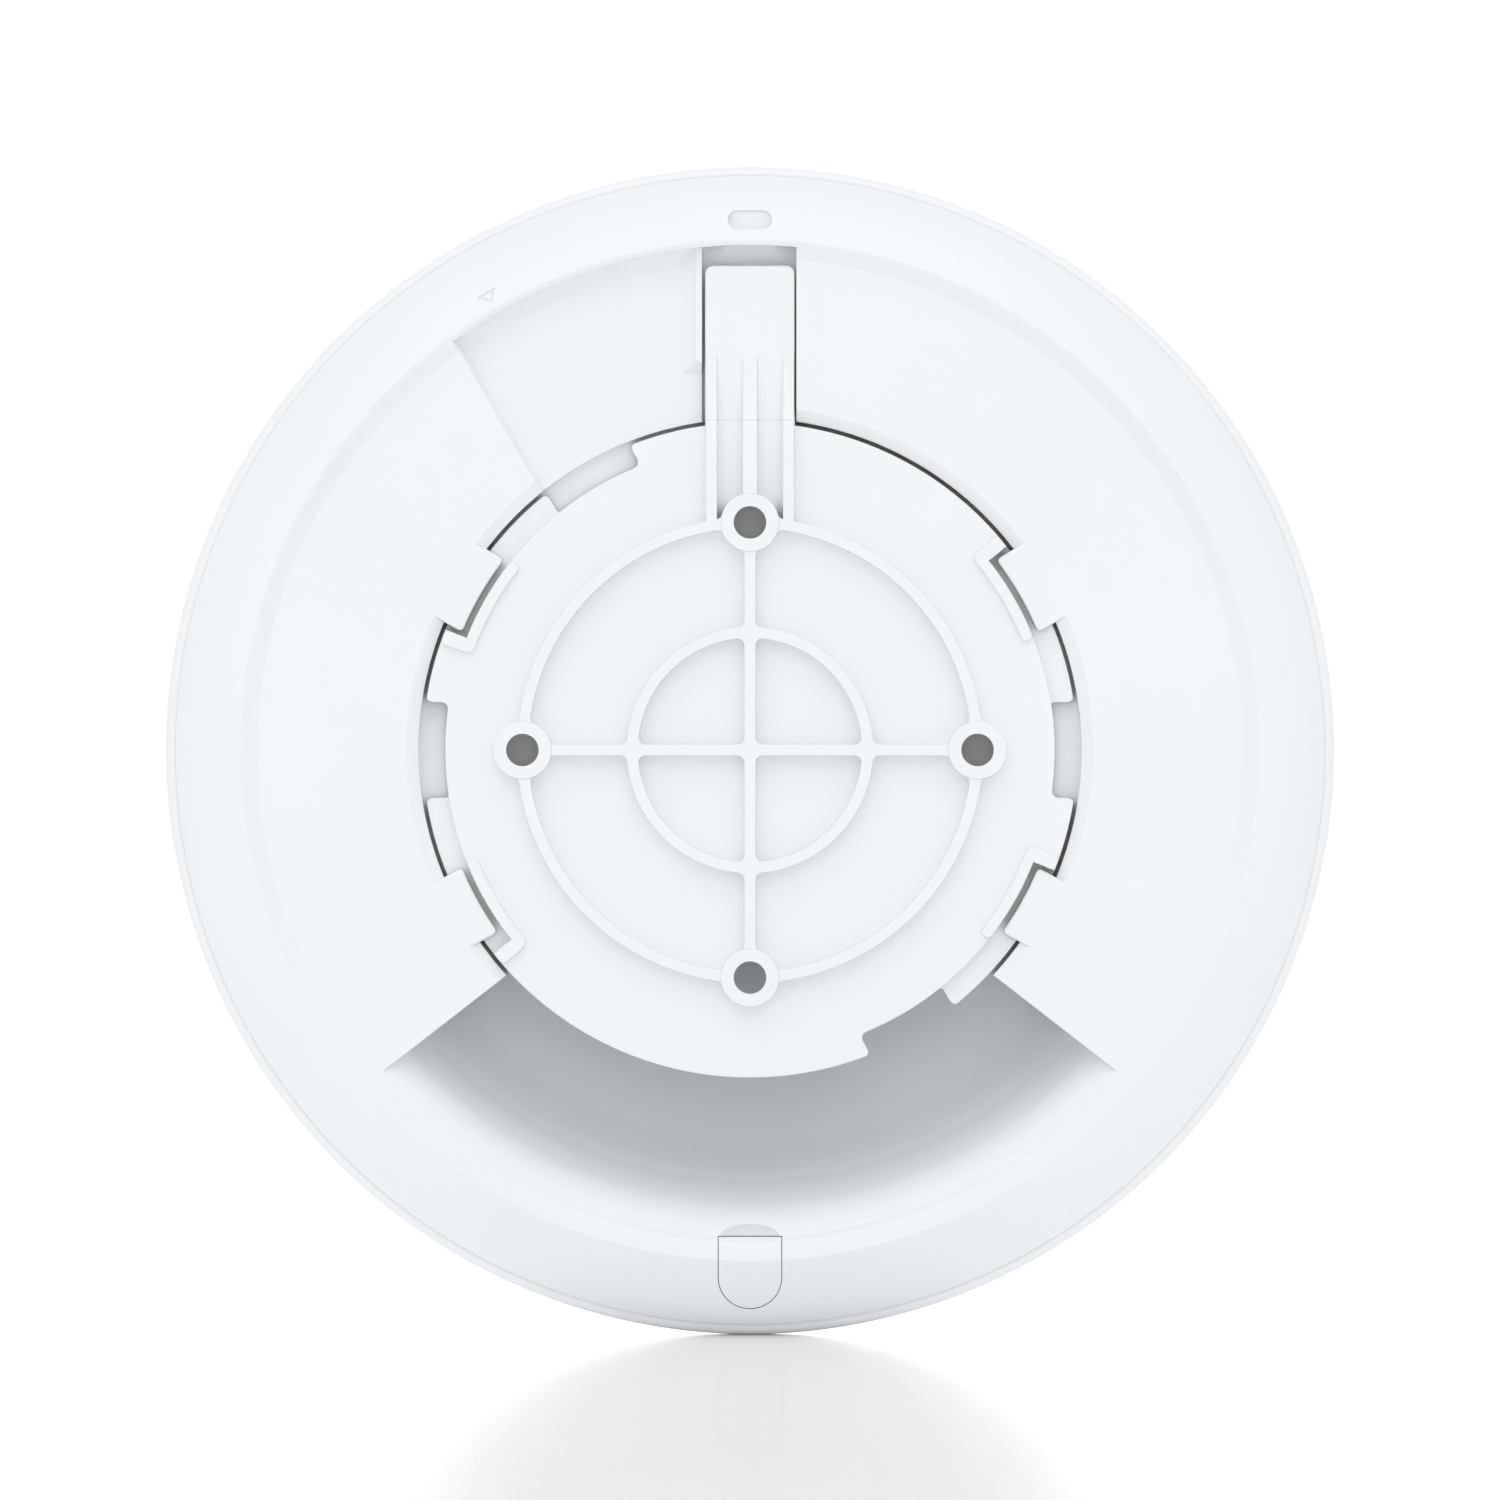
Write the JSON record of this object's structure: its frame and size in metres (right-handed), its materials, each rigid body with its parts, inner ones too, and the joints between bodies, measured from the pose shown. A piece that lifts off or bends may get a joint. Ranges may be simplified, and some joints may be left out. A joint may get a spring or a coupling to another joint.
{
  "type": "ceiling access point",
  "caption": "Round white ceiling access point with a domed cover, a light ring, and a ribbed twist-lock bracket with a springy locking arm over a cable pocket.",
  "frame": {"origin": "centre of the bracket's four screw holes, in the plane of the ceiling", "axes": "+Y from the ceiling into the body, +Z along the lock arm, +X to the right of the arm as seen from the ceiling"},
  "size_m": [0.206, 0.046, 0.206],
  "materials": {
    "bracket_plastic": "fine satin, white",
    "shell_plastic": "fine satin, white",
    "plug_plastic": "fine satin, white",
    "cover_plastic": "fine satin, white",
    "light_pipe": "milky, translucent",
    "light_board_mask": "white solder mask",
    "diode_resin": "pale yellow resin",
    "ribbon_film": "amber film",
    "board_mask": "green solder mask",
    "tin": "dull tin plate",
    "tin_lid": "dull tin plate",
    "thermal_pad": "soft, chalky blue",
    "cast_plate": "bead-blasted",
    "screw_steel": "zinc-plated",
    "lead_jacket": "smooth black jacket",
    "gold_plate": "gold-plated",
    "aerial_board_mask": "green solder mask",
    "jack_steel": "nickel-plated sheet",
    "jack_plastic": "black, moulded",
    "moulded_case": "black epoxy",
    "ferrite": "dark sintered grey",
    "capacitor_can": "bare can",
    "button_plastic": "grey, moulded",
    "switch_case": "black, moulded",
    "chip_resin": "black epoxy",
    "aerial_metal": "tin-plated strip"
  },
  "bodies": {
    "bracket": {"mounting_bracket": "bracket_plastic"},
    "lock_arm": {"lock_arm": "bracket_plastic"},
    "housing": {"antenna_connectors": "gold_plate", "antenna_leads": "lead_jacket", "antennas_24ghz": "aerial_metal", "antennas_5ghz": "aerial_metal", "antennas_6ghz": "aerial_metal", "board_screws": "screw_steel", "centre_cap": "cover_plastic", "flash_chip": "chip_resin", "front_cover": "cover_plastic", "heat_spreader": "cast_plate", "jack_contacts": "gold_plate", "jack_insert": "jack_plastic", "jack_shell": "jack_steel", "light_board": "light_board_mask", "light_diodes": "diode_resin", "light_ribbon": "ribbon_film", "light_ring": "light_pipe", "line_magnetics": "moulded_case", "main_board": "board_mask", "memory_chips": "chip_resin", "power_capacitors": "capacitor_can", "power_coils": "ferrite", "power_transformer": "ferrite", "processor_chip": "chip_resin", "radio_chips": "chip_resin", "rear_housing": "shell_plastic", "reset_switch": "switch_case", "scan_antenna_board": "aerial_board_mask", "shield_frames": "tin", "shield_lids": "tin_lid", "spreader_screws": "screw_steel", "thermal_pads": "thermal_pad"},
    "cable_plug": {"cable_exit_plug": "plug_plastic"},
    "reset_key": {"reset_button": "button_plastic", "reset_plunger": "button_plastic"}
  },
  "joints": [
    {"name": "twist_lock", "type": "hinge", "parent": "bracket", "child": "housing", "pos_m": [0, 0, 0], "axis": [0, 1, 0], "range_deg": [0, 30], "deforming": ["lock_arm"]},
    {"name": "arm_flex", "type": "hinge", "parent": "bracket", "child": "lock_arm", "pos_m": [0, 0.0016, 0.058], "axis": [1, 0, 0], "range_deg": [0, 6], "stiffness_Nm_per_rad": 1},
    {"name": "exit_plug_slide", "type": "slide", "parent": "housing", "child": "cable_plug", "axis": [0, -1, 0], "range_m": [0, 0.014]},
    {"name": "reset_press", "type": "slide", "parent": "housing", "child": "reset_key", "axis": [0, 0, 1], "range_m": [0, 0.0005], "stiffness_N_per_m": 600}
  ]
}
